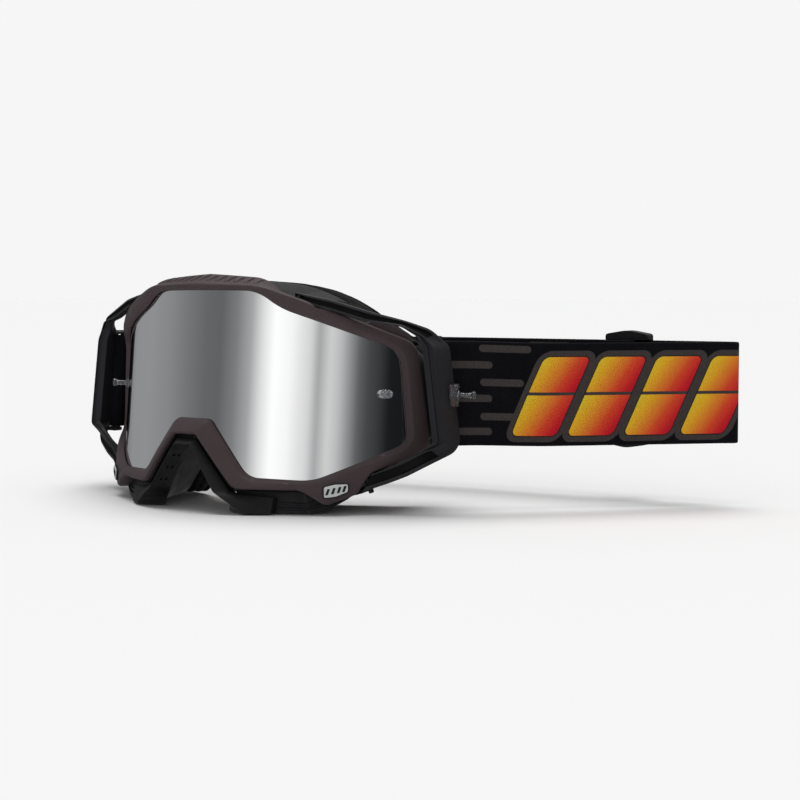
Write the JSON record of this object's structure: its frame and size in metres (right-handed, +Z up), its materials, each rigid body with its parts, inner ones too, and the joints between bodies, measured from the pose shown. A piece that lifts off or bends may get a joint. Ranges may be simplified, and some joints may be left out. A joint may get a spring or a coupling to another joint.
{
  "type": "motocross goggles",
  "caption": "Full-face-helmet riding goggles with a mirrored curved lens, layered face foam, hinged strap outriggers, removable nose guard and a wide adjustable elastic strap.",
  "frame": {"origin": "on the surface it stands on, under the middle of its bounding box", "axes": "+Z up, the lens faces -Y, +X towards the wearer's left, where the strap is folded out to the side"},
  "size_m": [0.2874, 0.1528, 0.0985],
  "materials": {
    "shell": "satin moulded polyurethane, dark taupe",
    "black_plastic": "satin moulded, black",
    "lens": "silver mirror coating on polycarbonate",
    "foam": "open cell foam, dark",
    "strap": "woven elastic webbing, black",
    "clear_post": "bright, glossy",
    "badge": "pale grey plate"
  },
  "bodies": {
    "frame": {"front_frame": "shell", "rear_frame": "black_plastic", "lens": "lens", "lens_post_left": "clear_post", "lens_post_right": "clear_post", "badge_left": "badge", "badge_right": "badge", "brow_vent_foam_left": "foam", "brow_vent_foam_right": "foam", "foam_base": "foam", "foam_middle": "foam", "foam_face": "foam", "pivot_pin_upper_left": "clear_post", "pivot_pin_upper_right": "clear_post", "pivot_pin_lower_left": "clear_post", "pivot_pin_lower_right": "clear_post", "strap_band": "strap", "strap_return": "strap"},
    "outrigger_left": {"outrigger_left": "black_plastic", "outrigger_post_left": "clear_post"},
    "outrigger_right": {"outrigger_right": "black_plastic", "outrigger_post_right": "clear_post"},
    "strap_slider": {"strap_slider": "black_plastic"},
    "nose_guard": {"nose_guard": "black_plastic"}
  },
  "joints": [
    {"name": "outrigger_left_swing", "type": "hinge", "parent": "frame", "child": "outrigger_left", "pos_m": [0.03157, -0.03985, 0.014], "axis": [-0.3308, -0.1349, 0.934], "range_deg": [-6, 8], "deforming": ["strap_band"]},
    {"name": "outrigger_right_swing", "type": "hinge", "parent": "frame", "child": "outrigger_right", "pos_m": [-0.10643, -0.03985, 0.014], "axis": [-0.3308, 0.1349, -0.934], "range_deg": [-6, 8], "deforming": ["strap_band", "strap_return"]},
    {"name": "strap_adjust", "type": "slide", "parent": "frame", "child": "strap_slider", "axis": [-0.9984, -0.0565, 0], "range_m": [-0.02, 0.03], "deforming": ["strap_return"]},
    {"name": "nose_guard_pull", "type": "slide", "parent": "frame", "child": "nose_guard", "axis": [0, -0.9957, 0.0924], "range_m": [0, 0.02]}
  ]
}
